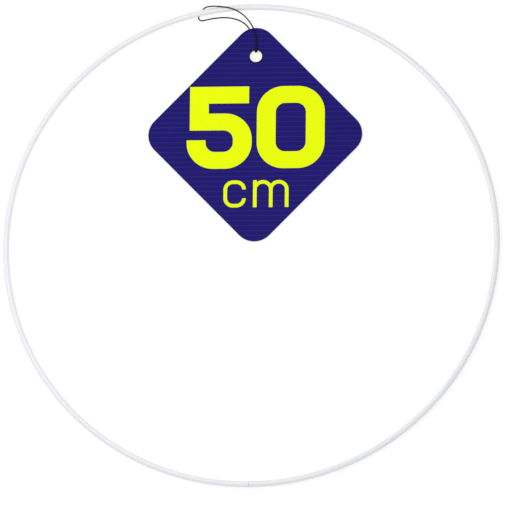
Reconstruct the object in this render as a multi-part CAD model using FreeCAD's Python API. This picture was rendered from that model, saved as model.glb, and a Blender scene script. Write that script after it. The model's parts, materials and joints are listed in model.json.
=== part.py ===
"""Rhythmic hoop, lying flat, with its hanging size tag on a loop of string.

Frame: millimetres, +Z up along the hoop's axis, origin on the floor under the ring's centre.
The tag hangs towards +Y inside the ring.
"""
import FreeCAD, Part

import math
import os

from FreeCAD import Placement, Rotation, Vector

# ---- hoop -----------------------------------------------------------------------------------
hoop_outer_diameter = 500.0
tube_diameter = 6.0
tube_wall = 1.0
seam_bearing = 270.0          # degrees round the ring from +X, where the tube's ends meet
seam_gap = 0.2
plug_length = 44.0
plug_clearance = 0.02         # radial, in the tube's bore
pin_diameter = 1.2
pin_depth = 3.4               # from the tube's inner side towards the outside
pin_distance = 11.0           # from the seam to each pin
pin_clearance = 0.02

# ---- tag ------------------------------------------------------------------------------------
tag_centre_x = 2.7
tag_centre_y = 114.9
tag_half_width = 116.0        # centre to the sharp corner, before rounding
tag_half_height = 119.5
tag_corner_radius = 21.0
board_thickness = 2.0
board_skin = 0.35
board_rib = 0.35
rib_pitch = 5.1
tip_clearance = 0.05          # under the lowest corner of the board

# ---- eyelet ---------------------------------------------------------------------------------
eyelet_above_centre = 81.2
eyelet_height = 2.0           # underside of the board above the floor, at the eyelet
eyelet_hole_radius = 6.4
barrel_wall = 0.5
barrel_clearance = 0.05
flange_overhang = 0.6         # past the barrel's outside
flange_thickness = 0.4
washer_width = 1.5
washer_thickness = 0.4
lip_thickness = 0.15

# ---- print ----------------------------------------------------------------------------------
print_thickness = 0.1
digit_height = 85.0
five_width = 65.6
zero_width = 68.4
digit_space = 5.0
digit_stroke = 19.0
digit_bar = 17.4
digit_corner = 27.0
digits_above_centre = 7.2     # middle of the digits above the tag's centre
digits_right_of_centre = 0.5
letter_height = 28.0
letter_stroke = 3.7
c_width = 22.6
m_width = 35.8
letter_space = 7.2
letter_corner = 9.6
letters_below_centre = 61.5   # middle of the letters below the tag's centre
letters_right_of_centre = 1.4

# ---- string ---------------------------------------------------------------------------------
string_diameter = 1.2
string_clearance = 0.25
knot_radius = 1.4
knot_end_radius = 0.75
knot_bottom = 2.3
knot_top = 4.7

# The loop's route, from the top of the knot, over the tag and the tube, round the outside,
# back under the tube and the tag, and up into the knot.
string_route = [
    (2.7, 200.95, 4.7), (2.7, 200.95, 5.7), (2.75, 201.9, 6.4), (2.9, 203.9, 6.1),
    (3.3, 207.5, 5.4), (2.9, 214.0, 5.15), (1.5, 221.5, 5.3), (-2.4, 229.4, 5.8),
    (-8.2, 236.8, 7.1), (-15.6, 242.1, 8.25), (-24.2, 245.6, 8.4), (-32.2, 246.8, 8.35),
    (-39.3, 247.3, 8.05), (-45.5, 247.1, 6.4), (-50.4, 246.4, 3.6), (-53.2, 244.4, 0.95),
    (-55.0, 240.4, 0.62), (-56.2, 237.0, 0.62), (-54.4, 234.4, 0.62), (-50.6, 234.3, 0.62),
    (-45.2, 235.8, 0.62), (-38.6, 236.8, 0.62), (-29.9, 237.5, 0.62), (-20.8, 236.4, 0.62),
    (-13.0, 233.6, 0.62), (-7.1, 229.1, 0.62), (-3.2, 222.9, 0.62), (-0.9, 215.6, 0.62),
    (1.0, 209.0, 0.62), (2.2, 204.6, 0.62), (2.6, 202.6, 0.64), (2.7, 201.4, 0.85),
    (2.7, 200.95, 1.5), (2.7, 200.95, 2.3),
]

# ---- derived --------------------------------------------------------------------------------
tube_radius = tube_diameter / 2
bore_radius = tube_radius - tube_wall
ring_radius = hoop_outer_diameter / 2 - tube_radius
ring_height = string_diameter + string_clearance + tube_radius
eyelet_x = tag_centre_x
eyelet_y = tag_centre_y + eyelet_above_centre
barrel_radius = eyelet_hole_radius + barrel_wall
board_hole_radius = barrel_radius + barrel_clearance
flange_radius = barrel_radius + flange_overhang
half_tip_angle = math.atan2(tag_half_width, tag_half_height)
tip_below_eyelet = (eyelet_above_centre + tag_half_height
                    - tag_corner_radius * (1 / math.sin(half_tip_angle) - 1))
tag_tilt = math.degrees(math.asin((eyelet_height - tip_clearance) / tip_below_eyelet))
up = Vector(0, 0, 1)


def ring_point(bearing, radius, height):
    """A point at a bearing round the hoop's axis."""
    angle = math.radians(bearing)
    return Vector(radius * math.cos(angle), radius * math.sin(angle), height)


def ring_sweep(section_radius, start_bearing, sweep):
    """A round rod bent along the ring's centreline, over part of its turn."""
    centre = ring_point(start_bearing, ring_radius, ring_height)
    normal = up.cross(ring_point(start_bearing, 1, 0))
    section = Part.Face(Part.Wire(Part.makeCircle(section_radius, centre, normal)))
    return section.revolve(Vector(0, 0, ring_height), up, sweep)


def arc_degrees(length):
    """The angle that a length takes along the ring's centreline."""
    return math.degrees(length / ring_radius)


def pin_bearings():
    """Bearings of the two pins, one on each side of the seam."""
    step = arc_degrees(pin_distance)
    return {"joint_pin_left": seam_bearing - step, "joint_pin_right": seam_bearing + step}


def pin_rod(bearing, radius):
    """A rod from inside the ring, through the tube's inner wall, into the plug."""
    start = ring_point(bearing, ring_radius - 2 * tube_radius, ring_height)
    return Part.makeCylinder(radius, tube_radius + pin_depth, start, ring_point(bearing, 1, 0))


def pin_holes():
    """Both pins' holes, a clearance larger than the pins."""
    radius = pin_diameter / 2 + pin_clearance
    return Part.makeCompound([pin_rod(bearing, radius) for bearing in pin_bearings().values()])


def hoop_tube():
    """The bent tube, hollow, with its two ends meeting at the seam."""
    gap = arc_degrees(seam_gap)
    start = seam_bearing + gap / 2
    solid = ring_sweep(tube_radius, start, 360 - gap)
    bore = ring_sweep(bore_radius, start, 360 - gap)
    return solid.cut(bore).cut(pin_holes())


def joint_plug():
    """The curved plug inside both ends of the tube."""
    sweep = arc_degrees(plug_length)
    return ring_sweep(bore_radius - plug_clearance, seam_bearing - sweep / 2, sweep).cut(pin_holes())


def joint_pin(bearing):
    """A pin through the inner wall into the plug, flush with the tube's surface."""
    wall = ring_sweep(tube_radius, bearing - 2, 4)
    return pin_rod(bearing, pin_diameter / 2).common(wall)


def on_tag(shape):
    """Put a piece made in the tag's own frame in place.

    The tag's frame has its origin at the eyelet's centre on the board's underside. The board
    lies on the string at the eyelet and on the floor at its far corner.
    """
    moved = shape.copy()
    moved.Placement = Placement(Vector(eyelet_x, eyelet_y, eyelet_height),
                                Rotation(Vector(1, 0, 0), tag_tilt))
    return moved


def tag_outline_solid():
    """The diamond with rounded corners, full thickness, in the tag's frame."""
    middle = -eyelet_above_centre
    corners = [Vector(tag_half_width, middle, 0), Vector(0, middle + tag_half_height, 0),
               Vector(-tag_half_width, middle, 0), Vector(0, middle - tag_half_height, 0)]
    plate = Part.Face(Part.makePolygon(corners + corners[:1])).extrude(up * board_thickness)
    upright = [edge for edge in plate.Edges if edge.BoundBox.ZLength > board_thickness / 2]
    return plate.makeFillet(tag_corner_radius, upright)


def tag_flutes():
    """The channels that run across the board between its two skins."""
    height = board_thickness - 2 * board_skin
    width = rib_pitch - board_rib
    middle = -eyelet_above_centre
    count = int(tag_half_height / rib_pitch)
    channels = []
    for row in range(-count, count + 1):
        start = Vector(-tag_half_width, middle + row * rib_pitch - width / 2, board_skin)
        channels.append(Part.makeBox(2 * tag_half_width, width, height, start))
    return Part.makeCompound(channels)


def tag_board():
    """The tag's board: two skins joined by ribs, with the hole for the eyelet."""
    hole = Part.makeCylinder(board_hole_radius, board_thickness, Vector(0, 0, 0), up)
    return on_tag(tag_outline_solid().cut(tag_flutes()).cut(hole))


def revolved(profile):
    """A solid of revolution about the tag frame's Z, from (radius, height) corners."""
    points = [Vector(radius, 0, height) for radius, height in profile]
    face = Part.Face(Part.makePolygon(points + points[:1]))
    return face.revolve(Vector(0, 0, 0), up, 360)


def tag_eyelet():
    """Front flange, barrel through the board, and the lip turned over the washer."""
    washer_bottom = -washer_thickness
    lip_bottom = washer_bottom - lip_thickness
    top = board_thickness + flange_thickness
    profile = [(eyelet_hole_radius, lip_bottom), (flange_radius, lip_bottom),
               (flange_radius, washer_bottom), (barrel_radius, washer_bottom),
               (barrel_radius, board_thickness), (flange_radius, board_thickness),
               (flange_radius, top), (eyelet_hole_radius, top)]
    return on_tag(revolved(profile))


def eyelet_washer():
    """The ring behind the board that the eyelet's lip holds."""
    inner = board_hole_radius
    outer = inner + washer_width
    profile = [(inner, -washer_thickness), (outer, -washer_thickness), (outer, 0), (inner, 0)]
    return on_tag(revolved(profile))


def rounded_plate(left, bottom, width, height, radius):
    """A thin rectangle of print with round corners, on the board's face."""
    plate = Part.makeBox(width, height, print_thickness, Vector(left, bottom, board_thickness))
    upright = [edge for edge in plate.Edges if abs(edge.BoundBox.ZLength - print_thickness) < 1e-6
               and edge.BoundBox.XLength < 1e-6]
    return plate.makeFillet(radius, upright)


def print_box(left, bottom, width, height):
    """A thin rectangle of print with square corners."""
    return Part.makeBox(width, height, print_thickness, Vector(left, bottom, board_thickness))


def digit_five(left, bottom):
    """A square-shouldered 5: top bar, stem, and an open bowl."""
    bar_y = bottom + digit_height - digit_bar
    bowl_height = digit_height - digit_bar - 0.6 * digit_bar
    stem_left = left + 0.16 * digit_stroke
    counter_corner = digit_corner - digit_bar
    counter_height = bowl_height - 2 * digit_bar
    counter_y = bottom + digit_bar
    counter_top = counter_y + counter_height
    terminal_y = bottom + digit_bar + 0.55 * counter_height
    bowl = rounded_plate(left, bottom, five_width, bowl_height, digit_corner)
    shoulder = print_box(stem_left, counter_top, five_width / 2, digit_bar)
    counter = rounded_plate(left + digit_stroke, counter_y, five_width - 2 * digit_stroke,
                            counter_height, counter_corner)
    opening = print_box(left - 1, terminal_y, 1 + digit_stroke + counter_corner,
                        counter_top - terminal_y)
    beside_stem = print_box(left - 1, terminal_y, 1 + stem_left - left, bowl_height)
    stem = print_box(stem_left, counter_top, digit_stroke, bottom + digit_height - counter_top)
    top_bar = print_box(stem_left, bar_y, five_width - 2 * (stem_left - left), digit_bar)
    bowl = bowl.fuse(shoulder).cut(counter).cut(opening).cut(beside_stem)
    return bowl.fuse(stem).fuse(top_bar).removeSplitter()


def digit_zero(left, bottom):
    """A square-shouldered 0."""
    outer = rounded_plate(left, bottom, zero_width, digit_height, digit_corner)
    counter = rounded_plate(left + digit_stroke, bottom + digit_bar, zero_width - 2 * digit_stroke,
                            digit_height - 2 * digit_bar, digit_corner - digit_bar)
    return outer.cut(counter)


def size_number():
    """The hoop's size in figures, a film on the board's face."""
    total = five_width + digit_space + zero_width
    left = digits_right_of_centre - total / 2
    bottom = digits_above_centre - eyelet_above_centre - digit_height / 2
    digits = [digit_five(left, bottom), digit_zero(left + five_width + digit_space, bottom)]
    return on_tag(Part.makeCompound([solid for digit in digits for solid in digit.Solids]))


def letter_c(left, bottom):
    """An open rounded loop."""
    outer = rounded_plate(left, bottom, c_width, letter_height, letter_corner)
    inner = rounded_plate(left + letter_stroke, bottom + letter_stroke, c_width - 2 * letter_stroke,
                          letter_height - 2 * letter_stroke, letter_corner - letter_stroke)
    mouth_height = 0.33 * letter_height
    mouth = print_box(left + c_width / 2, bottom + (letter_height - mouth_height) / 2,
                      c_width, mouth_height)
    return outer.cut(inner).cut(mouth)


def letter_m(left, bottom):
    """Two arches on three legs."""
    arch_width = (m_width + letter_stroke) / 2
    reach = letter_height + letter_corner
    arches = None
    for side in range(2):
        x = left + side * (arch_width - letter_stroke)
        outer = rounded_plate(x, bottom - letter_corner, arch_width, reach, letter_corner)
        inner = rounded_plate(x + letter_stroke, bottom - letter_corner, arch_width - 2 * letter_stroke,
                              reach - letter_stroke, letter_corner - letter_stroke)
        arch = outer.cut(inner)
        arches = arch if arches is None else arches.fuse(arch)
    legs = print_box(left, bottom, letter_stroke, letter_height)
    below = print_box(left - 1, bottom - 2 * letter_corner, m_width + 2, 2 * letter_corner)
    return arches.fuse(legs).cut(below).removeSplitter()


def size_unit():
    """The unit's two letters, a film on the board's face."""
    total = c_width + letter_space + m_width
    left = letters_right_of_centre - total / 2
    bottom = -letters_below_centre - eyelet_above_centre - letter_height / 2
    letters = [letter_c(left, bottom), letter_m(left + c_width + letter_space, bottom)]
    return on_tag(Part.makeCompound([solid for letter in letters for solid in letter.Solids]))


def rounded_route(points):
    """Straight runs joined by tangent arcs, each as large as its two runs allow."""
    corners = [Vector(*point) for point in points]
    edges = []
    radii = []
    start = corners[0]
    for before, corner, after in zip(corners, corners[1:], corners[2:]):
        back = (before - corner).normalize()
        ahead = (after - corner).normalize()
        turn = math.pi - back.getAngle(ahead)
        shorter = min((before - corner).Length, (after - corner).Length)
        trim = 0.45 * shorter
        radii.append(trim / math.tan(turn / 2))
        first = corner + back * trim
        last = corner + ahead * trim
        bisector = (back + ahead).normalize()
        sagitta = radii[-1] * (1 / math.cos(turn / 2) - 1)
        edges.append(Part.LineSegment(start, first).toShape())
        edges.append(Part.Arc(first, corner + bisector * sagitta, last).toShape())
        start = last
    edges.append(Part.LineSegment(start, corners[-1]).toShape())
    return Part.Wire(edges), radii


def tag_string():
    """The loop of string, from the knot round the tube and back to the knot."""
    path, radii = rounded_route(string_route)
    normal = Vector(*string_route[1]) - Vector(*string_route[0])
    section = Part.Wire(Part.makeCircle(string_diameter / 2, Vector(*string_route[0]), normal))
    tube = path.makePipeShell([section], True, True)
    expected = math.pi * string_diameter ** 2 / 4 * path.Length
    print("string length %.1f mm, volume %.3f of %.3f" % (path.Length, tube.Volume, expected))
    print("string radii " + " ".join("%.1f" % radius for radius in radii))
    return tube


def string_knot():
    """The lump of the knot in the eyelet, flat where the string's two ends leave it."""
    x, y = string_route[0][:2]
    lump = Part.makeCylinder(knot_radius, knot_top - knot_bottom, Vector(x, y, knot_bottom))
    rims = [edge for edge in lump.Edges if edge.isClosed()]
    return lump.makeFillet(knot_radius - knot_end_radius, rims)


def main():
    """Make every piece and write one STEP file for each."""
    pieces = {
        "hoop_tube": hoop_tube(),
        "joint_plug": joint_plug(),
        "tag_board": tag_board(),
        "tag_eyelet": tag_eyelet(),
        "eyelet_washer": eyelet_washer(),
        "size_number": size_number(),
        "size_unit": size_unit(),
        "tag_string": tag_string(),
        "string_knot": string_knot(),
    }
    for name, bearing in pin_bearings().items():
        pieces[name] = joint_pin(bearing)
    os.makedirs("parts", exist_ok=True)
    for name, shape in pieces.items():
        shape.exportStep("parts/%s.step" % name)
        box = shape.BoundBox
        print("%-16s solids %d valid %s volume %9.2f  x %.2f..%.2f y %.2f..%.2f z %.2f..%.2f" % (
            name, len(shape.Solids), shape.isValid(), shape.Volume,
            box.XMin, box.XMax, box.YMin, box.YMax, box.ZMin, box.ZMax))
    print("tag tilt %.4f degrees, ring height %.3f" % (tag_tilt, ring_height))


main()
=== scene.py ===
"""Looks of a slim white rhythmic hoop with its diamond size tag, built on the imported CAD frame.

Every piece is worked out in metres in the frame's own axes: +Z up, the ring's centre on the
floor at the origin, the tag hanging towards +Y. A piece is a surface of two parameters, and
numpy works it out as whole arrays.
"""

import json
import logging
import math
from dataclasses import dataclass, field
from enum import Enum
from typing import Any

import bpy
import numpy as np
from mathutils import Matrix, Vector


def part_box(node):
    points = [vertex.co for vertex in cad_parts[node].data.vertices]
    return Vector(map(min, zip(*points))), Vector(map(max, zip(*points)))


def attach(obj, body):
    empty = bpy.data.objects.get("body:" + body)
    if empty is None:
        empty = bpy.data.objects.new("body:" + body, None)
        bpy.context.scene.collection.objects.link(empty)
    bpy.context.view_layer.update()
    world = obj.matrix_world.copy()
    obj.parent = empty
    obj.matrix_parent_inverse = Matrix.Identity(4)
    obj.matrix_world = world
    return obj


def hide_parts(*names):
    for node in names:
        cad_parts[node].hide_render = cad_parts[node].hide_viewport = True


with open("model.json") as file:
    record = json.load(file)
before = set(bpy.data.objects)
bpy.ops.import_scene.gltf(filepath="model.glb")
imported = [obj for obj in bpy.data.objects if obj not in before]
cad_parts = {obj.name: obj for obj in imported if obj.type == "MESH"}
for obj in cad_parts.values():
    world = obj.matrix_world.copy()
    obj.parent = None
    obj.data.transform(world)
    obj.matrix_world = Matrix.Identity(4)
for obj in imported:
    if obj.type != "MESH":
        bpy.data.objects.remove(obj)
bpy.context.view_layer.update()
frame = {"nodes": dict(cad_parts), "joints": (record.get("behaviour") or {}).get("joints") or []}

MM = 0.001
TURN = 2.0 * math.pi

log = logging.getLogger("hoop")

Array = np.ndarray
Colour = tuple[float, float, float]


class Body(Enum):
    """The bodies that pieces ride on."""

    HOOP = "hoop"
    STRING = "string"
    TAG = "tag"


class Slot(Enum):
    """Names for four material slots, not used by the pieces below."""

    HOOP = "hoop_plastic"
    BOARD = "tag_board_plastic"
    EYELET = "eyelet_metal"
    STRING = "string_cord"


# ---- materials --------------------------------------------------------------------------------


class Shader:
    """A material in the making: one Principled shader, and short calls that add nodes to it."""

    def __init__(self, name: str) -> None:
        """Start a material with an empty Principled shader.

        Args:
            name: the material's name.
        """
        self.material = bpy.data.materials.new(name)
        self.material.use_nodes = True
        self.tree = self.material.node_tree
        self.surface = self.tree.nodes["Principled BSDF"]

    def constant(self, **values: Any) -> None:
        """Set the shader's own sockets; a name's underscores stand for spaces.

        Args:
            values: a value for each socket.
        """
        for name, value in values.items():
            socket = self.surface.inputs[name.replace("_", " ")]
            if isinstance(value, tuple) and len(value) == 3 and socket.type == "RGBA":
                value = (*value, 1.0)
            socket.default_value = value

    def node(self, kind: str, **settings: Any) -> bpy.types.Node:
        """Add a node and set its properties.

        Args:
            kind: the node's type, such as "ShaderNodeTexNoise".
            settings: a value for each property.

        Returns:
            The new node.
        """
        made = self.tree.nodes.new(kind)
        for name, value in settings.items():
            setattr(made, name, value)
        return made

    def link(self, source: Any, target: Any) -> None:
        """Join an output socket to an input socket."""
        self.tree.links.new(source, target)

    def mapped(self, output: str, location: tuple, scale: tuple, rotation: tuple = (0, 0, 0)) -> Any:
        """Texture coordinates through a Mapping node.

        Args:
            output: the coordinate's name, "Object" or "UV".
            location: the mapping's offset.
            scale: the mapping's scale.
            rotation: the mapping's rotation, in radians.

        Returns:
            The mapped vector's socket.
        """
        coordinate = self.node("ShaderNodeTexCoord")
        mapping = self.node("ShaderNodeMapping")
        mapping.inputs["Location"].default_value = location
        mapping.inputs["Rotation"].default_value = rotation
        mapping.inputs["Scale"].default_value = scale
        self.link(coordinate.outputs[output], mapping.inputs["Vector"])
        return mapping.outputs["Vector"]

    def noise(self, vector: Any, scale: float, detail: float = 3.0, roughness: float = 0.5) -> Any:
        """A noise texture's value.

        Args:
            vector: the coordinate's socket.
            scale: the noise's scale, in cells for each unit of the coordinate.
            detail: the noise's octaves.
            roughness: the weight of the finer octaves.

        Returns:
            The value's socket, about 0 to 1.
        """
        made = self.node("ShaderNodeTexNoise")
        made.inputs["Scale"].default_value = scale
        made.inputs["Detail"].default_value = detail
        made.inputs["Roughness"].default_value = roughness
        self.link(vector, made.inputs["Vector"])
        return made.outputs["Fac"]

    def maths(self, operation: str, first: Any, second: Any = 0.0, third: Any = 0.0) -> Any:
        """One Math node on sockets or numbers.

        Args:
            operation: the node's operation, such as "MULTIPLY".
            first: the first socket or number.
            second: the second.
            third: the third.

        Returns:
            The value's socket.
        """
        made = self.node("ShaderNodeMath", operation=operation)
        for socket, value in zip(made.inputs, (first, second, third)):
            if isinstance(value, (int, float)):
                socket.default_value = value
            else:
                self.link(value, socket)
        return made.outputs[0]

    def spread(self, value: Any, source: tuple, target: tuple) -> Any:
        """A value moved from one range to another, clamped.

        Args:
            value: the value's socket.
            source: the range that it has.
            target: the range that it gets.

        Returns:
            The new value's socket.
        """
        made = self.node("ShaderNodeMapRange")
        names = ("From Min", "From Max", "To Min", "To Max")
        for name, number in zip(names, (*source, *target)):
            made.inputs[name].default_value = number
        self.link(value, made.inputs["Value"])
        return made.outputs["Result"]

    def blend(self, amount: Any, low: Colour, high: Colour) -> Any:
        """Two colours mixed by a value.

        Args:
            amount: the value's socket, 0 to 1.
            low: the colour at 0.
            high: the colour at 1.

        Returns:
            The colour's socket.
        """
        made = self.node("ShaderNodeMix", data_type="RGBA")
        colours = [socket for socket in made.inputs if socket.type == "RGBA"]
        colours[0].default_value = (*low, 1.0)
        colours[1].default_value = (*high, 1.0)
        self.link(amount, made.inputs[0])
        return next(socket for socket in made.outputs if socket.type == "RGBA")

    def colour(self, socket: Any) -> None:
        """Let a colour socket drive the shader's base colour."""
        self.link(socket, self.surface.inputs["Base Color"])

    def roughness(self, socket: Any) -> None:
        """Let a value socket drive the shader's roughness."""
        self.link(socket, self.surface.inputs["Roughness"])

    def bump(self, layers: list[tuple[Any, float]]) -> None:
        """Stack height layers as bump nodes and join the last to the shader.

        Args:
            layers: a height's socket and the distance in metres that it stands for, for each.
        """
        normal = None
        for height, distance in layers:
            made = self.node("ShaderNodeBump")
            made.inputs["Strength"].default_value = 1.0
            made.inputs["Distance"].default_value = distance
            self.link(height, made.inputs["Height"])
            if normal is not None:
                self.link(normal, made.inputs["Normal"])
            normal = made.outputs["Normal"]
        self.link(normal, self.surface.inputs["Normal"])


@dataclass(frozen=True)
class TubePlastic:
    """Smooth white polyethylene: milky, faintly cool, with drawing lines along the tube."""

    milk: Colour = (0.745, 0.748, 0.775)
    cloud: Colour = (0.705, 0.712, 0.742)
    gloss_low: float = 0.24
    gloss_high: float = 0.40
    line_depth: float = 0.012 * MM
    dimple_depth: float = 0.02 * MM

    def make(self) -> bpy.types.Material:
        """Build the material; its UV runs in metres along the tube and in turns round it.

        Returns:
            The material.
        """
        shader = Shader("white_tube_plastic")
        along = shader.mapped("UV", (0, 0, 0), (1.0, 1.0, 1.0))
        clouds = shader.noise(along, 24.0, 4.0, 0.6)
        shader.colour(shader.blend(shader.spread(clouds, (0.35, 0.7), (0.0, 1.0)), self.milk, self.cloud))
        drawn = shader.noise(shader.mapped("UV", (0, 0, 0), (6.0, 90.0, 1.0)), 1.0, 3.0, 0.65)
        skin = shader.noise(shader.mapped("Object", (0, 0, 0), (1.0, 1.0, 1.0)), 900.0, 2.0)
        scuff = shader.noise(shader.mapped("UV", (3.1, 0.4, 0), (220.0, 3.0, 1.0)), 1.0, 5.0, 0.7)
        scuffed = shader.spread(scuff, (0.56, 0.74), (self.gloss_low, self.gloss_high))
        shader.roughness(scuffed)
        shader.bump([(drawn, self.line_depth), (skin, self.dimple_depth)])
        shader.constant(IOR=1.5, Subsurface_Weight=0.12, Subsurface_Scale=1.5 * MM, Coat_Weight=0.15,
                        Coat_Roughness=0.12)
        return shader.material


@dataclass(frozen=True)
class BoardPlastic:
    """Indigo twin-wall sheet: satin skin, ribs showing through as faint level lines."""

    deep: Colour = (0.0100, 0.0060, 0.128)
    rib: Colour = (0.0190, 0.0135, 0.197)
    rib_width: float = 0.34
    grain_depth: float = 0.015 * MM
    satin_low: float = 0.42
    satin_high: float = 0.58

    def make(self, place: "TagPlace", pitch: float) -> bpy.types.Material:
        """Build the material.

        Args:
            place: where the tag lies, so that the lines follow its ribs.
            pitch: the distance between ribs, in metres.

        Returns:
            The material.
        """
        shader = Shader("indigo_board_plastic")
        lines = place.rib_lines(shader, pitch, self.rib_width)
        shader.colour(shader.blend(lines, self.deep, self.rib))
        whole = shader.mapped("Object", (0, 0, 0), (1.0, 1.0, 1.0))
        grain = shader.noise(whole, 1400.0, 2.0)
        drawn = shader.noise(shader.mapped("Object", (0, 0, 0), (60.0, 2200.0, 60.0)), 1.0, 2.0)
        haze = shader.noise(whole, 45.0, 4.0, 0.6)
        shader.roughness(shader.spread(haze, (0.3, 0.7), (self.satin_low, self.satin_high)))
        shader.bump([(grain, self.grain_depth), (drawn, self.grain_depth)])
        shader.constant(IOR=1.46, Specular_IOR_Level=0.06)
        return shader.material


@dataclass(frozen=True)
class PrintInk:
    """Opaque lemon-yellow ink, flat, with a screen's faint grain and the ribs under it."""

    full: Colour = (0.730, 0.868, 0.0016)
    thin: Colour = (0.705, 0.842, 0.0034)
    rib_width: float = 0.17
    grain_depth: float = 0.012 * MM

    def make(self, place: "TagPlace", pitch: float) -> bpy.types.Material:
        """Build the material.

        Args:
            place: where the tag lies, so that the lines follow its ribs.
            pitch: the distance between ribs, in metres.

        Returns:
            The material.
        """
        shader = Shader("lemon_print_ink")
        whole = shader.mapped("Object", (0, 0, 0), (1.0, 1.0, 1.0))
        patchy = shader.noise(whole, 160.0, 4.0, 0.6)
        lines = place.rib_lines(shader, pitch, self.rib_width)
        cover = shader.maths("MULTIPLY_ADD", lines, 0.35, shader.spread(patchy, (0.35, 0.75), (0.0, 0.6)))
        shader.colour(shader.blend(cover, self.full, self.thin))
        grain = shader.noise(whole, 2600.0, 2.0)
        shader.roughness(shader.spread(patchy, (0.3, 0.7), (0.5, 0.62)))
        shader.bump([(grain, self.grain_depth)])
        shader.constant(IOR=1.45, Specular_IOR_Level=0.05)
        return shader.material


@dataclass(frozen=True)
class EyeletLacquer:
    """Black lacquer on a small brass eyelet, a little worn where it is rubbed."""

    black: Colour = (0.003, 0.003, 0.004)
    worn: Colour = (0.020, 0.019, 0.019)

    def make(self) -> bpy.types.Material:
        """Build the material.

        Returns:
            The material.
        """
        shader = Shader("black_eyelet_lacquer")
        whole = shader.mapped("Object", (0, 0, 0), (1.0, 1.0, 1.0))
        rub = shader.noise(whole, 700.0, 4.0, 0.65)
        shader.colour(shader.blend(shader.spread(rub, (0.62, 0.74), (0.0, 1.0)), self.black, self.worn))
        shader.roughness(shader.spread(rub, (0.3, 0.75), (0.28, 0.5)))
        shader.bump([(rub, 0.02 * MM)])
        shader.constant(IOR=1.5, Specular_IOR_Level=0.14)
        return shader.material


@dataclass(frozen=True)
class StringFibre:
    """Black spun thread: matt, a little fuzzy, with fibres lying along each strand."""

    dark: Colour = (0.003, 0.003, 0.004)
    light: Colour = (0.012, 0.011, 0.013)

    def make(self) -> bpy.types.Material:
        """Build the material; its UV runs in metres along the strand and in turns round it.

        Returns:
            The material.
        """
        shader = Shader("black_spun_string")
        fibres = shader.noise(shader.mapped("UV", (0, 0, 0), (1100.0, 9.0, 1.0)), 1.0, 3.0, 0.7)
        shader.colour(shader.blend(shader.spread(fibres, (0.3, 0.75), (0.0, 1.0)), self.dark, self.light))
        shader.roughness(shader.spread(fibres, (0.3, 0.75), (0.72, 0.92)))
        shader.bump([(fibres, 0.05 * MM)])
        shader.constant(Specular_IOR_Level=0.08, Sheen_Weight=0.04, Sheen_Roughness=0.5)
        return shader.material


@dataclass(frozen=True)
class PlugPlastic:
    """Plain grey moulding for the plug inside the joint."""

    light: Colour = (0.36, 0.37, 0.39)
    dark: Colour = (0.30, 0.31, 0.33)

    def make(self) -> bpy.types.Material:
        """Build the material.

        Returns:
            The material.
        """
        shader = Shader("grey_plug_plastic")
        mottle = shader.noise(shader.mapped("Object", (0, 0, 0), (1.0, 1.0, 1.0)), 500.0, 3.0)
        shader.colour(shader.blend(mottle, self.dark, self.light))
        shader.roughness(shader.spread(mottle, (0.3, 0.7), (0.45, 0.6)))
        shader.bump([(mottle, 0.03 * MM)])
        return shader.material


@dataclass(frozen=True)
class PinSteel:
    """Bright drawn wire, ground flush with the tube."""

    bright: Colour = (0.62, 0.63, 0.65)
    dull: Colour = (0.45, 0.46, 0.48)

    def make(self) -> bpy.types.Material:
        """Build the material.

        Returns:
            The material.
        """
        shader = Shader("pin_steel_wire")
        ground = shader.noise(shader.mapped("Object", (0, 0, 0), (900.0, 900.0, 9000.0)), 1.0, 3.0)
        shader.colour(shader.blend(ground, self.dull, self.bright))
        shader.roughness(shader.spread(ground, (0.3, 0.7), (0.22, 0.4)))
        shader.bump([(ground, 0.01 * MM)])
        shader.constant(Metallic=1.0)
        return shader.material


@dataclass(frozen=True)
class StudioFloor:
    """Matt white paper on a light table: lit from below, so the object throws no hard shadow."""

    white: Colour = (0.34, 0.34, 0.34)
    glow: float = 0.68

    def make(self) -> bpy.types.Material:
        """Build the material.

        Returns:
            The material.
        """
        shader = Shader("studio_paper")
        tooth = shader.noise(shader.mapped("Object", (0, 0, 0), (1.0, 1.0, 1.0)), 400.0, 2.0)
        shader.bump([(tooth, 0.01 * MM)])
        shader.constant(Base_Color=self.white, Roughness=0.9, Specular_IOR_Level=0.05,
                        Emission_Color=(1.0, 1.0, 1.0), Emission_Strength=self.glow)
        return shader.material


# ---- meshes -----------------------------------------------------------------------------------


def signed_volume(vertices: Array, faces: Array) -> float:
    """Six times the volume inside a closed mesh, positive when its faces point outwards.

    Each face is a fan of triangles from its first corner, and each triangle adds the volume of
    the tetrahedron that it makes with the origin.

    Args:
        vertices: the points, one row each.
        faces: the corners' numbers, one row of four for each face.

    Returns:
        The signed value.
    """
    centre = vertices.mean(0)
    corners = vertices[faces] - centre
    first = np.einsum("ij,ij->", corners[:, 0], np.cross(corners[:, 1], corners[:, 2]))
    second = np.einsum("ij,ij->", corners[:, 0], np.cross(corners[:, 2], corners[:, 3]))
    return float(first + second)


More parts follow.
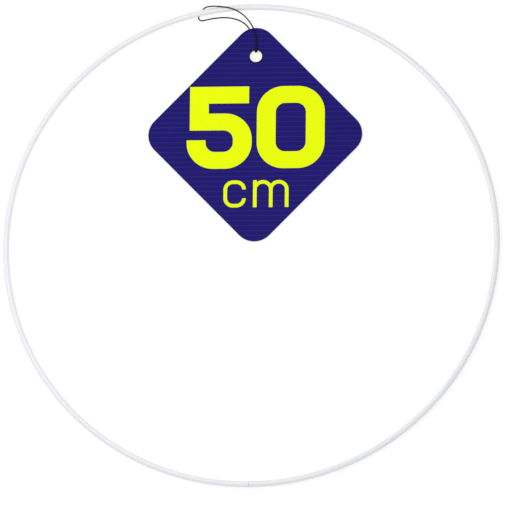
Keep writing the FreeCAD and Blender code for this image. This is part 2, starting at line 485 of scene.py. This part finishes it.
def solid_object(name: str, vertices: Array, faces: Array, uv: Array | None = None) -> bpy.types.Object:
    """A mesh object from quads, turned so that its faces point outwards.

    Args:
        name: the object's name.
        vertices: the points in metres, one row each.
        faces: four corners for each face; a triangle repeats its last corner.
        uv: a row of u and v for each vertex, or None.

    Returns:
        The linked object, at the origin.
    """
    if signed_volume(vertices, faces) < 0:
        faces = faces[:, ::-1]
    mesh = bpy.data.meshes.new(name)
    corners = [tuple(dict.fromkeys(face)) for face in faces.tolist()]
    mesh.from_pydata(vertices.tolist(), [], corners)
    if uv is not None:
        layer = mesh.uv_layers.new(name="UVMap")
        loops = np.empty(len(mesh.loops), np.int32)
        mesh.loops.foreach_get("vertex_index", loops)
        layer.data.foreach_set("uv", uv[loops].astype(np.float32).ravel())
    mesh.polygons.foreach_set("use_smooth", np.ones(len(mesh.polygons), bool))
    mesh.update()
    made = bpy.data.objects.new(name, mesh)
    bpy.context.scene.collection.objects.link(made)
    return made


def grid_faces(rows: int, columns: int, close_rows: bool, close_columns: bool) -> Array:
    """The quads of a grid of points that is stored row by row.

    Args:
        rows: how many rows there are.
        columns: how many points a row has.
        close_rows: whether the last row joins the first.
        close_columns: whether the last point of a row joins its first.

    Returns:
        Four corners for each quad.
    """
    i = np.arange(rows if close_rows else rows - 1)[:, None]
    j = np.arange(columns if close_columns else columns - 1)[None, :]
    below, beside = (i + 1) % rows, (j + 1) % columns
    quads = np.stack([i * columns + j, below * columns + j, below * columns + beside,
                      i * columns + beside], -1)
    return quads.reshape(-1, 4)


def arc(centre: tuple[float, float], radii: tuple[float, float], start: float, end: float,
        count: int) -> Array:
    """Points on an ellipse's arc: centre plus radii times the cosine and sine of the angle.

    Args:
        centre: the arc's centre.
        radii: its half-widths along the two axes.
        start: the first angle in degrees.
        end: the last angle in degrees.
        count: how many points to give.

    Returns:
        One row for each point.
    """
    angle = np.radians(np.linspace(start, end, count))
    return np.stack([centre[0] + radii[0] * np.cos(angle), centre[1] + radii[1] * np.sin(angle)], -1)


def turned(profile: Array, segments: int) -> tuple[Array, Array]:
    """A closed profile of radius and height carried round the Z axis.

    Args:
        profile: a row of radius and height for each corner.
        segments: how many steps make the full turn.

    Returns:
        The vertices and the faces.
    """
    angle = np.arange(segments) / segments * TURN
    radius, height = profile[:, 0], profile[:, 1]
    x = radius[:, None] * np.cos(angle)
    y = radius[:, None] * np.sin(angle)
    z = np.broadcast_to(height[:, None], x.shape)
    return np.stack([x, y, z], -1).reshape(-1, 3), grid_faces(len(profile), segments, True, True)


# ---- the ring ---------------------------------------------------------------------------------


@dataclass
class HoopRing:
    """The bent tube: outside, bore and the two butted ends, one closed surface."""

    seam_bearing: float = 270.0
    seam_gap: float = 0.2 * MM
    wall: float = 1.0 * MM
    end_rounding: float = 0.18 * MM
    outside_steps: int = 900
    bore_steps: int = 240
    round_steps: int = 44
    ovality: float = 0.012
    finish: TubePlastic = field(default_factory=TubePlastic)

    def __post_init__(self) -> None:
        """Take the ring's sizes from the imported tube's box."""
        low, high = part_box("hoop_tube")
        self.tube_radius = (high.z - low.z) / 2
        self.height = (high.z + low.z) / 2
        self.ring_radius = (high.x - low.x) / 2 - self.tube_radius
        self.bore_radius = self.tube_radius - self.wall

    def loop(self) -> Array:
        """The tube's wall as a closed loop of distance along the ring and radius in the tube.

        The loop runs along the outside, rounds the far end, comes back along the bore, and
        rounds the near end.

        Returns:
            A row of distance and radius for each point of the loop.
        """
        start = self.seam_gap / 2
        end = TURN * self.ring_radius - self.seam_gap / 2
        rounding = self.end_rounding
        reach = np.linspace(start + rounding, end - rounding, self.outside_steps)
        outside = np.stack([reach, np.full_like(reach, self.tube_radius)], -1)
        shoulder = self.tube_radius - rounding
        far = arc((end - rounding, shoulder), (rounding, rounding), 75, 0, 5)
        near = arc((start + rounding, shoulder), (rounding, rounding), 180, 105, 5)
        back = np.linspace(end, start, self.bore_steps)
        bore = np.stack([back, np.full_like(back, self.bore_radius)], -1)
        return np.concatenate([outside, far, bore, near])

    def make(self) -> bpy.types.Object:
        """Build the tube.

        A point at distance s along the ring, radius r in the tube and angle a round the tube
        lies at bearing s / R, at R + r cos a from the axis and r sin a above the middle. The
        section is a little flattened by the bending, by a share that varies slowly round the
        ring.

        Returns:
            The dressed object, riding on the hoop.
        """
        loop = self.loop()
        distance, radius = loop[:, :1], loop[:, 1:]
        bearing = math.radians(self.seam_bearing) + distance / self.ring_radius
        angle = np.arange(self.round_steps)[None, :] / self.round_steps * TURN
        flattened = 1.0 - self.ovality * (0.6 + 0.4 * np.sin(5 * bearing)) * np.sin(angle) ** 2
        out = self.ring_radius + radius * np.cos(angle)
        up = self.height + radius * flattened * np.sin(angle)
        vertices = np.stack([out * np.cos(bearing), out * np.sin(bearing), up], -1).reshape(-1, 3)
        faces = grid_faces(len(loop), self.round_steps, True, True)
        turns = 0.5 + 0.5 * np.sin(angle / 2) * np.ones_like(distance)
        uv = np.stack([distance * np.ones_like(angle), turns], -1).reshape(-1, 2)
        ring = solid_object("white_hoop_tube", vertices, faces, uv)
        ring.data.materials.append(self.finish.make())
        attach(ring, Body.HOOP.value)
        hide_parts("hoop_tube")
        return ring


@dataclass
class HiddenJoint:
    """The plug and the two pins where the tube's ends meet; their CAD shapes stay."""

    plug: PlugPlastic = field(default_factory=PlugPlastic)
    pin: PinSteel = field(default_factory=PinSteel)

    def make(self) -> list[bpy.types.Object]:
        """Dress the three CAD nodes.

        Returns:
            The nodes' objects.
        """
        dressed = {"joint_plug": self.plug.make()}
        steel = self.pin.make()
        dressed.update({"joint_pin_left": steel, "joint_pin_right": steel})
        return [dress_node(name, material) for name, material in dressed.items()]


def dress_node(name: str, material: bpy.types.Material) -> bpy.types.Object:
    """Put a material on a CAD node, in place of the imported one.

    Args:
        name: the node's name.
        material: its new material.

    Returns:
        The node's object.
    """
    node = frame["nodes"][name]
    node.data.materials.clear()
    node.data.materials.append(material)
    return node


# ---- the tag ----------------------------------------------------------------------------------


class TagPlace:
    """Where the tag lies: its own axes, with the origin at the eyelet on the board's underside."""

    def __init__(self) -> None:
        """Read the eyelet's place and the board's tilt from the joint that turns the tag."""
        joint = next(j for j in frame["joints"] if j["name"] == "tag_turn")
        self.origin = Vector(joint["pos_m"])
        normal = Vector(joint["axis"]).normalized()
        across = Vector((1, 0, 0))
        along = normal.cross(across)
        turn = Matrix((across, along, normal)).transposed().to_4x4()
        self.matrix = Matrix.Translation(self.origin) @ turn
        low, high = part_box("tag_board")
        self.centre_below = self.origin.y - (low.y + high.y) / 2

    def put(self, piece: bpy.types.Object) -> None:
        """Move a piece's mesh from the tag's axes to the frame's.

        Args:
            piece: an object whose mesh is in the tag's axes.
        """
        piece.data.transform(self.matrix)
        piece.data.update()

    def rib_lines(self, shader: Shader, pitch: float, width: float) -> Any:
        """A value that is 1 over each rib of the board and 0 between ribs.

        The distance up the tag from its middle, in pitches, gives a triangle wave whose peaks
        are the ribs, and a narrow range at the peaks is kept.

        Args:
            shader: the material in the making.
            pitch: the distance between ribs, in metres.
            width: the line's share of a pitch.

        Returns:
            The value's socket.
        """
        middle = self.origin.y - self.centre_below
        moved = shader.mapped("Object", (0, -middle / pitch, 0), (1 / pitch, 1 / pitch, 1 / pitch))
        split = shader.node("ShaderNodeSeparateXYZ")
        shader.link(moved, split.inputs[0])
        part = shader.maths("FRACT", split.outputs["Y"])
        away = shader.maths("ABSOLUTE", shader.maths("SUBTRACT", part, 0.5))
        return shader.spread(away, (width / 2, 0.0), (0.0, 1.0))


@dataclass
class TagBoard:
    """The fluted diamond board: two skins that sink a little between the ribs, and open flutes."""

    place: TagPlace
    half_width: float = 116.0 * MM
    half_height: float = 119.5 * MM
    corner: float = 21.0 * MM
    thickness: float = 2.0 * MM
    skin: float = 0.35 * MM
    rib: float = 0.35 * MM
    pitch: float = 5.1 * MM
    centre_below: float = 81.2 * MM
    sink: float = 0.05 * MM
    hole_radius: float = 6.95 * MM
    across_steps: int = 28
    flute_steps: int = 8
    tip_steps: int = 14
    hole_steps: int = 90            # not a multiple of 4, so that no corner meets the middle line
    tip_flat: float = 0.01 * MM     # how far the first and last rows stay inside the tips
    finish: BoardPlastic = field(default_factory=BoardPlastic)

    def __post_init__(self) -> None:
        """Work out the round corners' centres and the board's reach."""
        slope = math.hypot(self.half_width, self.half_height)
        self.sine, self.cosine = self.half_height / slope, self.half_width / slope
        self.side_centre = self.half_width - self.corner / self.sine
        self.tip_centre = self.half_height - self.corner / self.cosine
        self.reach = self.tip_centre + self.corner

    def reach_across(self, y: Array) -> Array:
        """Half the board's width at each height: an arc, a straight slope and an arc.

        Args:
            y: heights above the board's middle.

        Returns:
            The half width at each height.
        """
        high = np.abs(y)
        slope = self.half_width * (1.0 - high / self.half_height)
        side = self.side_centre + np.sqrt(np.maximum(self.corner ** 2 - high ** 2, 0.0))
        tip = np.sqrt(np.maximum(self.corner ** 2 - (high - self.tip_centre) ** 2, 0.0))
        near_tip = high > self.tip_centre + self.corner * self.cosine
        return np.where(high < self.corner * self.cosine, side, np.where(near_tip, tip, slope))

    def levels(self) -> tuple[Array, Array]:
        """The heights up the board that its rows of points have.

        Returns:
            The heights, and for each step between two of them whether it crosses a flute.
        """
        rows = np.arange(-int(self.reach / self.pitch) - 1, int(self.reach / self.pitch) + 2)
        half = (self.pitch - self.rib) / 2
        flute = np.linspace(-half, half, self.flute_steps + 1)
        heights = (rows[:, None] * self.pitch + flute[None, :]).ravel()
        rise = np.sin(np.linspace(math.asin(self.cosine), math.pi / 2, self.tip_steps))
        tips = self.tip_centre + self.corner * rise
        edge = self.reach - self.tip_flat
        heights = np.concatenate([heights, tips[:-1], -tips[:-1], [edge, -edge]])
        heights = np.unique(np.round(heights[np.abs(heights) <= edge], 7))
        middle = (heights[1:] + heights[:-1]) / 2
        from_flute = np.abs(middle / self.pitch - np.round(middle / self.pitch)) * self.pitch
        return heights, from_flute < half

    def make(self) -> bpy.types.Object:
        """Build the board, cut its hole and dress it.

        A point is at height y and share s across the board, at x = (2 s - 1) w(y), on one of
        four levels: the back, the flute's floor, the flute's roof and the front.

        Returns:
            The dressed object, riding on the tag.
        """
        heights, open_step = self.levels()
        count, steps = len(heights), self.across_steps + 1
        share = np.linspace(-1.0, 1.0, steps)
        from_rib = heights / self.pitch - np.round(heights / self.pitch)
        dip = self.sink * (0.5 + 0.5 * np.cos(TURN * from_rib))
        level = np.stack([dip, np.full(count, self.skin), np.full(count, self.thickness - self.skin),
                          self.thickness - dip])
        x = np.broadcast_to(self.reach_across(heights)[None, :, None] * share, (4, count, steps))
        y = np.broadcast_to(heights[None, :, None] - self.centre_below, (4, count, steps))
        z = np.broadcast_to(level[:, :, None], (4, count, steps))
        vertices = np.stack([x, y, z], -1).reshape(-1, 3)
        faces = self.faces(count, steps, open_step)
        used, faces = np.unique(faces, return_inverse=True)
        board = solid_object("indigo_tag_board", vertices[used], faces.reshape(-1, 4))
        self.cut_hole(board)
        board.data.polygons.foreach_set("use_smooth", np.zeros(len(board.data.polygons), bool))
        self.place.put(board)
        board.data.materials.append(self.finish.make(self.place, self.pitch))
        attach(board, Body.TAG.value)
        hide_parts("tag_board")
        return board

    def faces(self, count: int, steps: int, open_step: Array) -> Array:
        """The quads between the four levels of points.

        Args:
            count: how many rows of points a level has.
            steps: how many points a row has.
            open_step: for each step between rows, whether it crosses a flute.

        Returns:
            Four corners for each quad, all turned the same way round.
        """
        number = np.arange(4 * count * steps).reshape(4, count, steps)

        def quads(a: Array, b: Array, c: Array, d: Array) -> Array:
            """Stack four arrays of corners as quads."""
            return np.stack([a.ravel(), b.ravel(), c.ravel(), d.ravel()], -1)

        def sheet(grid: Array) -> Array:
            """The quads of one level, or of some of its rows."""
            return quads(grid[:-1, :-1], grid[:-1, 1:], grid[1:, 1:], grid[1:, :-1])

        back, floor, roof, front = number
        made = [sheet(front), sheet(back)[:, ::-1]]
        low = np.nonzero(open_step)[0]
        high = low + 1
        made.append(quads(roof[low][:, :-1], roof[low][:, 1:], roof[high][:, 1:],
                          roof[high][:, :-1])[:, ::-1])
        made.append(quads(floor[low][:, :-1], floor[low][:, 1:], floor[high][:, 1:],
                          floor[high][:, :-1]))
        begins = np.nonzero(open_step[1:] & ~open_step[:-1])[0] + 1
        ends = np.nonzero(~open_step[1:] & open_step[:-1])[0] + 1
        made.append(quads(floor[begins][:, :-1], floor[begins][:, 1:], roof[begins][:, 1:],
                          roof[begins][:, :-1])[:, ::-1])
        made.append(quads(floor[ends][:, :-1], floor[ends][:, 1:], roof[ends][:, 1:],
                          roof[ends][:, :-1]))
        solid_step = np.ones_like(open_step)
        layers = ((back, floor, solid_step), (floor, roof, ~open_step), (roof, front, solid_step))
        for lower, upper, closed in layers:
            here = np.nonzero(closed)[0]
            for column, step in ((0, 1), (steps - 1, -1)):
                made.append(quads(lower[here, column], upper[here, column], upper[here + 1, column],
                                  lower[here + 1, column])[:, ::step])
            for row, beside, step in ((0, 0, 1), (count - 1, -1, -1)):
                if closed[beside]:
                    made.append(quads(lower[row, :-1], lower[row, 1:], upper[row, 1:],
                                      upper[row, :-1])[:, ::step])
        return np.concatenate(made)

    def cut_hole(self, board: bpy.types.Object) -> None:
        """Cut the eyelet's hole through the board, at the origin of the tag's axes.

        Args:
            board: the board, still in the tag's axes.
        """
        middle = np.array([[0.0, 0.0, -self.thickness], [0.0, 0.0, 2 * self.thickness]])
        side, top = np.tile([1.0, 0.0, 0.0], (2, 1)), np.tile([0.0, 1.0, 0.0], (2, 1))
        vertices, faces, _ = tube(middle, side, top, self.hole_radius, self.hole_steps, 1.0)
        cutter = solid_object("hole_cutter", vertices, faces)
        cut = board.modifiers.new("eyelet_hole", "BOOLEAN")
        cut.operation, cut.solver, cut.object = "DIFFERENCE", "EXACT", cutter
        bpy.context.view_layer.update()
        depsgraph = bpy.context.evaluated_depsgraph_get()
        result = bpy.data.meshes.new_from_object(board.evaluated_get(depsgraph))
        board.modifiers.clear()
        board.data = result
        bpy.data.objects.remove(cutter)


@dataclass
class TagPrint:
    """The size in figures and its unit; their CAD films stay and get the ink."""

    place: TagPlace
    pitch: float
    finish: PrintInk = field(default_factory=PrintInk)

    def make(self) -> list[bpy.types.Object]:
        """Dress the two films and give them back."""
        ink = self.finish.make(self.place, self.pitch)
        return [dress_node(name, ink) for name in ("size_number", "size_unit")]


@dataclass
class TagEyelet:
    """The lacquered eyelet and the washer behind the board that it is turned over."""

    place: TagPlace
    hole_radius: float = 6.25 * MM
    barrel_radius: float = 6.9 * MM
    flange_radius: float = 7.7 * MM
    crown: float = 0.4 * MM
    board: float = 2.0 * MM
    washer_inner: float = 6.95 * MM
    washer_outer: float = 8.45 * MM
    washer_thickness: float = 0.4 * MM
    lip: float = 0.15 * MM
    segments: int = 128
    finish: EyeletLacquer = field(default_factory=EyeletLacquer)

    def eyelet_profile(self) -> Array:
        """The eyelet's section: barrel, domed flange in front, lip rolled over behind.

        Returns:
            A row of radius and height for each corner.
        """
        middle = (self.hole_radius + self.flange_radius) / 2
        half = (self.flange_radius - self.hole_radius) / 2
        dome = arc((middle, self.board), (half, self.crown), 180, 0, 17)
        under = -self.washer_thickness
        roll = arc((middle, under), (half, self.lip), 0, -180, 13)
        neck = np.array([[self.barrel_radius, self.board], [self.barrel_radius, under]])
        return np.concatenate([dome, neck, roll])

    def washer_profile(self) -> Array:
        """The washer's section: flat on the board, rounded at both edges.

        Returns:
            A row of radius and height for each corner.
        """
        middle = -self.washer_thickness / 2
        half = self.washer_thickness / 2
        outer = arc((self.washer_outer - half, middle), (half, half), 90, -90, 9)
        inner = arc((self.washer_inner + half, middle), (half, half), 270, 90, 9)
        return np.concatenate([outer, inner])

    def make(self) -> list[bpy.types.Object]:
        """Build the eyelet and the washer, each a section carried round the hole's axis.

        Returns:
            The dressed eyelet and washer, riding on the tag.
        """
        lacquer = self.finish.make()
        made = []
        for name, node, profile in (("black_tag_eyelet", "tag_eyelet", self.eyelet_profile()),
                                    ("black_eyelet_washer", "eyelet_washer", self.washer_profile())):
            ring = solid_object(name, *turned(profile, self.segments))
            self.place.put(ring)
            ring.data.materials.append(lacquer)
            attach(ring, Body.TAG.value)
            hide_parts(node)
            made.append(ring)
        return made


# ---- the string -------------------------------------------------------------------------------


@dataclass
class TagString:
    """Three thin strands twisted into one string, and the knot that ties its ends."""

    diameter: float = 1.2 * MM
    strand_radius: float = 0.43 * MM
    orbit: float = 0.295 * MM
    twist: float = 3.6 * MM
    strands: int = 3
    strand_steps: int = 10
    step: float = 0.28 * MM
    length: float = 181.2 * MM
    knot_spread: tuple = (1.5, 1.0, 1.0)    # widens the knot along X, Y and Z
    knot_strand: float = 0.42               # the knot's strand radius over the string's diameter
    knot_steps: int = 160
    finish: StringFibre = field(default_factory=StringFibre)
    route: tuple = (
        (2.7, 200.95, 4.7), (2.7, 200.95, 5.7), (2.75, 201.9, 6.4), (2.9, 203.9, 6.1),
        (3.3, 207.5, 5.4), (2.9, 214.0, 5.15), (1.5, 221.5, 5.3), (-2.4, 229.4, 5.8),
        (-8.2, 236.8, 7.1), (-15.6, 242.1, 8.25), (-24.2, 245.6, 8.4), (-32.2, 246.8, 8.35),
        (-39.3, 247.5, 8.05), (-44.8, 247.5, 6.4), (-49.0, 247.4, 3.6), (-52.0, 245.2, 0.95),
        (-55.0, 240.4, 0.72), (-56.2, 237.0, 0.72), (-54.4, 234.4, 0.72), (-50.6, 234.3, 0.72),
        (-45.2, 235.8, 0.72), (-38.6, 236.8, 0.72), (-29.9, 237.5, 0.72), (-20.8, 236.4, 0.72),
        (-13.0, 233.6, 0.72), (-7.1, 229.1, 0.72), (-3.2, 222.9, 0.72), (-0.9, 215.6, 0.72),
        (1.0, 209.0, 0.72), (2.2, 204.6, 0.72), (2.6, 202.6, 0.74), (2.7, 201.4, 0.85),
        (2.7, 200.95, 1.5), (2.7, 200.95, 2.3),
    )

    def line(self) -> Array:
        """Even points along the smooth spline that has the route as its control points.

        Returns:
            The points in metres, one row each.
        """
        curve = bpy.data.curves.new("string_route", "CURVE")
        curve.dimensions = "3D"
        curve.resolution_u = 24
        spline = curve.splines.new("NURBS")
        spline.points.add(len(self.route) - 1)
        for point, place in zip(spline.points, self.route):
            point.co = (*(value * MM for value in place), 1.0)
        spline.order_u = 3
        spline.use_endpoint_u = True
        guide = bpy.data.objects.new("string_route", curve)
        bpy.context.scene.collection.objects.link(guide)
        bpy.context.view_layer.update()
        depsgraph = bpy.context.evaluated_depsgraph_get()
        mesh = bpy.data.meshes.new_from_object(guide.evaluated_get(depsgraph))
        points = np.empty(len(mesh.vertices) * 3)
        mesh.vertices.foreach_get("co", points)
        bpy.data.objects.remove(guide)
        bpy.data.meshes.remove(mesh)
        return even_points(points.reshape(-1, 3), self.step)

    def make(self) -> list[bpy.types.Object]:
        """Build the string and its knot.

        Each strand's middle runs round the string's line at a fixed radius, one turn for each
        twist length, and the strand is a round tube about it.

        Returns:
            The dressed string and knot, riding on the string's body.
        """
        fibre = self.finish.make()
        line = self.line()
        side, top = carried_axes(line)
        travel = np.arange(len(line)) * self.step
        parts = []
        for strand in range(self.strands):
            phase = (travel / self.twist + strand / self.strands) * TURN
            away = np.cos(phase)[:, None] * side + np.sin(phase)[:, None] * top
            parts.append(tube(line + self.orbit * away, side, top, self.strand_radius, self.strand_steps,
                              self.step))
        string = solid_object("black_tag_string", *joined(parts))
        string.data.materials.append(fibre)
        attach(string, Body.STRING.value)
        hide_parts("tag_string")
        knot = self.knot(fibre)
        return [string, knot]

    def knot(self, fibre: bpy.types.Material) -> bpy.types.Object:
        """Build the overhand knot in the eyelet.

        Its line is a trefoil: x = sin t + 2 sin 2t, y = cos t - 2 cos 2t, z = -sin 3t, scaled
        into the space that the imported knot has.

        Args:
            fibre: the string's material.

        Returns:
            The dressed knot, riding on the string's body.
        """
        low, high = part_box("string_knot")
        centre = np.array((low + high) / 2)
        size = np.array(high - low)
        radius = self.knot_strand * self.diameter
        count = self.knot_steps
        t = np.arange(count) / count * TURN
        shape = np.stack([np.sin(t) + 2 * np.sin(2 * t), np.cos(t) - 2 * np.cos(2 * t), -np.sin(3 * t)], -1)
        scale = (size / 2 - radius) / np.array([3.0, 3.0, 1.0]) * self.knot_spread
        line = centre + shape * scale
        ahead = np.roll(line, -1, 0) - np.roll(line, 1, 0)
        ahead /= np.linalg.norm(ahead, axis=1, keepdims=True)
        side = np.cross(ahead, (0.0, 0.0, 1.0))
        side /= np.linalg.norm(side, axis=1, keepdims=True)
        top = np.cross(side, ahead)
        angle = np.arange(self.strand_steps + 2) / (self.strand_steps + 2) * TURN
        ring = np.cos(angle)[None, :, None] * side[:, None] + np.sin(angle)[None, :, None] * top[:, None]
        vertices = (line[:, None] + radius * ring).reshape(-1, 3)
        faces = grid_faces(count, len(angle), True, True)
        along = np.linalg.norm(np.diff(line, axis=0, append=line[:1]), axis=1).cumsum()
        uv = np.stack(np.broadcast_arrays(along[:, None], angle[None, :] / TURN), -1).reshape(-1, 2)
        knot = solid_object("black_string_knot", vertices, faces, uv)
        knot.data.materials.append(fibre)
        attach(knot, Body.STRING.value)
        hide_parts("string_knot")
        return knot


def even_points(points: Array, step: float) -> Array:
    """Points spread evenly along a line of points.

    Args:
        points: the line, one row for each point.
        step: the wanted distance between two points.

    Returns:
        The new line, which keeps both ends.
    """
    gaps = np.linalg.norm(np.diff(points, axis=0), axis=1)
    travel = np.concatenate([[0.0], gaps.cumsum()])
    wanted = np.linspace(0.0, travel[-1], int(travel[-1] / step) + 1)
    return np.stack([np.interp(wanted, travel, points[:, axis]) for axis in range(3)], -1)


def carried_axes(line: Array) -> tuple[Array, Array]:
    """Two axes square to a line at each of its points, carried along it without twisting.

    Each step turns the last side axis by the least turn that squares it to the next tangent.

    Args:
        line: the points, one row each.

    Returns:
        The side axis and the top axis at each point.
    """
    ahead = np.gradient(line, axis=0)
    ahead /= np.linalg.norm(ahead, axis=1, keepdims=True)
    side = np.empty_like(line)
    current = np.array([1.0, 0.0, 0.0])
    for station, tangent in enumerate(ahead):
        current = current - tangent * current.dot(tangent)
        current /= np.linalg.norm(current)
        side[station] = current
    return side, np.cross(ahead, side)


def tube(middle: Array, side: Array, top: Array, radius: float, steps: int,
         step: float) -> tuple[Array, Array, Array]:
    """A round tube about a line, its two ends closed by a point.

    Args:
        middle: the tube's middle line.
        side: the first axis square to it.
        top: the second.
        radius: the tube's radius.
        steps: how many points go round it.
        step: the distance between two points of the line.

    Returns:
        The vertices, the faces and the UVs, in metres along and turns round.
    """
    count = len(middle)
    angle = np.arange(steps) / steps * TURN
    ring = np.cos(angle)[None, :, None] * side[:, None] + np.sin(angle)[None, :, None] * top[:, None]
    vertices = (middle[:, None] + radius * ring).reshape(-1, 3)
    faces = grid_faces(count, steps, False, True)
    first, last = count * steps, count * steps + 1
    near = np.arange(steps)
    far = near + (count - 1) * steps
    start = np.stack([near, np.roll(near, -1), np.full(steps, first), np.full(steps, first)], -1)
    end = np.stack([np.roll(far, -1), far, np.full(steps, last), np.full(steps, last)], -1)
    vertices = np.concatenate([vertices, middle[:1], middle[-1:]])
    along = np.arange(count) * step
    uv = np.stack(np.broadcast_arrays(along[:, None], angle[None, :] / TURN), -1).reshape(-1, 2)
    uv = np.concatenate([uv, [[0.0, 0.0], [along[-1], 0.0]]])
    return vertices, np.concatenate([faces, start, end]), uv


def joined(parts: list[tuple[Array, Array, Array]]) -> tuple[Array, Array, Array]:
    """Several meshes' arrays as one mesh's arrays.

    Args:
        parts: the vertices, faces and UVs of each mesh.

    Returns:
        The joined vertices, faces and UVs.
    """
    starts = np.cumsum([0] + [len(vertices) for vertices, _, _ in parts[:-1]])
    vertices = np.concatenate([vertices for vertices, _, _ in parts])
    faces = np.concatenate([faces + start for (_, faces, _), start in zip(parts, starts)])
    return vertices, faces, np.concatenate([uv for _, _, uv in parts])


# ---- the studio -------------------------------------------------------------------------------


@dataclass
class Studio:
    """The floor, the soft lights and the camera."""

    tilt: float = 15.1          # degrees between the line of sight and the hoop's axis
    bearing: float = 17.86      # degrees from straight in front, round to the right
    distance: float = 20.0
    view_span: float = 513.5 * MM   # what the long side of the view covers at the ring
    ring_right: float = -1.8 * MM
    ring_up: float = 11.2 * MM
    floor_half: float = 6.0
    sky: float = 0.80
    lamp_place: tuple = (-0.4, 0.1, 1.1)
    lamp_size: float = 1.0
    lamp_power: float = 6.0
    paper: StudioFloor = field(default_factory=StudioFloor)

    def floor(self) -> bpy.types.Object:
        """A wide plane of paper at the frame's zero.

        Returns:
            The plane.
        """
        reach = self.floor_half
        corners = [(-reach, -reach, 0), (reach, -reach, 0), (reach, reach, 0), (-reach, reach, 0)]
        mesh = bpy.data.meshes.new("studio_floor")
        mesh.from_pydata(corners, [], [(0, 1, 2, 3)])
        plane = bpy.data.objects.new("studio_floor", mesh)
        bpy.context.scene.collection.objects.link(plane)
        plane.data.materials.append(self.paper.make())
        return plane

    def area_light(self, name: str, place: Vector, size: float, power: float) -> None:
        """A square soft light that faces the ring.

        Args:
            name: the light's name.
            place: where it hangs.
            size: its side.
            power: its power in watts.
        """
        light = bpy.data.lights.new(name, "AREA")
        light.size, light.energy = size, power
        lamp = bpy.data.objects.new(name, light)
        bpy.context.scene.collection.objects.link(lamp)
        lamp.location = place
        lamp.rotation_euler = (-place).to_track_quat("-Z", "Y").to_euler()

    def lights(self) -> None:
        """One big soft light to the upper left, and a pale sky."""
        self.area_light("upper_left_light", Vector(self.lamp_place), self.lamp_size, self.lamp_power)
        world = bpy.data.worlds.new("studio_sky")
        world.use_nodes = True
        background = world.node_tree.nodes["Background"]
        background.inputs["Color"].default_value = (1.0, 1.0, 1.0, 1.0)
        background.inputs["Strength"].default_value = self.sky
        bpy.context.scene.world = world

    def camera(self, ring_height: float) -> bpy.types.Object:
        """A long lens above the ring, rolled so that the tag stands upright in the picture.

        Args:
            ring_height: the height of the ring's centre above the floor.

        Returns:
            The scene's camera.
        """
        tilt, bearing = math.radians(self.tilt), math.radians(self.bearing)
        back = Vector((math.sin(bearing) * math.sin(tilt), -math.cos(bearing) * math.sin(tilt),
                       math.cos(tilt)))
        level = Vector((math.cos(bearing), math.sin(bearing), 0))
        rise = back.cross(level)
        right = math.cos(bearing) * level - math.sin(bearing) * rise
        up = math.sin(bearing) * level + math.cos(bearing) * rise
        target = Vector((0, 0, ring_height)) - self.ring_right * right - self.ring_up * up
        lens = bpy.data.cameras.new("studio_camera")
        camera = bpy.data.objects.new("studio_camera", lens)
        bpy.context.scene.collection.objects.link(camera)
        turn = Matrix((right, up, back)).transposed().to_4x4()
        camera.matrix_world = Matrix.Translation(target + back * self.distance) @ turn
        lens.lens = lens.sensor_width * self.distance / self.view_span
        lens.clip_end = 10 * self.distance
        bpy.context.scene.camera = camera
        return camera


def report(pieces: list[bpy.types.Object]) -> None:
    """Log each piece's name and how many faces it has.

    Args:
        pieces: the objects that were built.
    """
    for piece in pieces:
        log.info("%s: %d faces", piece.name, len(piece.data.polygons))


def main() -> None:
    """Build the hoop, the tag, the string and the studio."""
    logging.basicConfig(level=logging.INFO, format="%(name)s %(message)s")
    ring = HoopRing()
    report([ring.make()])
    report(HiddenJoint().make())
    place = TagPlace()
    board = TagBoard(place)
    report([board.make()])
    report(TagPrint(place, board.pitch).make())
    report(TagEyelet(place).make())
    report(TagString().make())
    studio = Studio()
    studio.floor()
    studio.lights()
    studio.camera(ring.height)
    bpy.context.scene.view_settings.view_transform = "Standard"


if __name__ == "__main__":
    main()
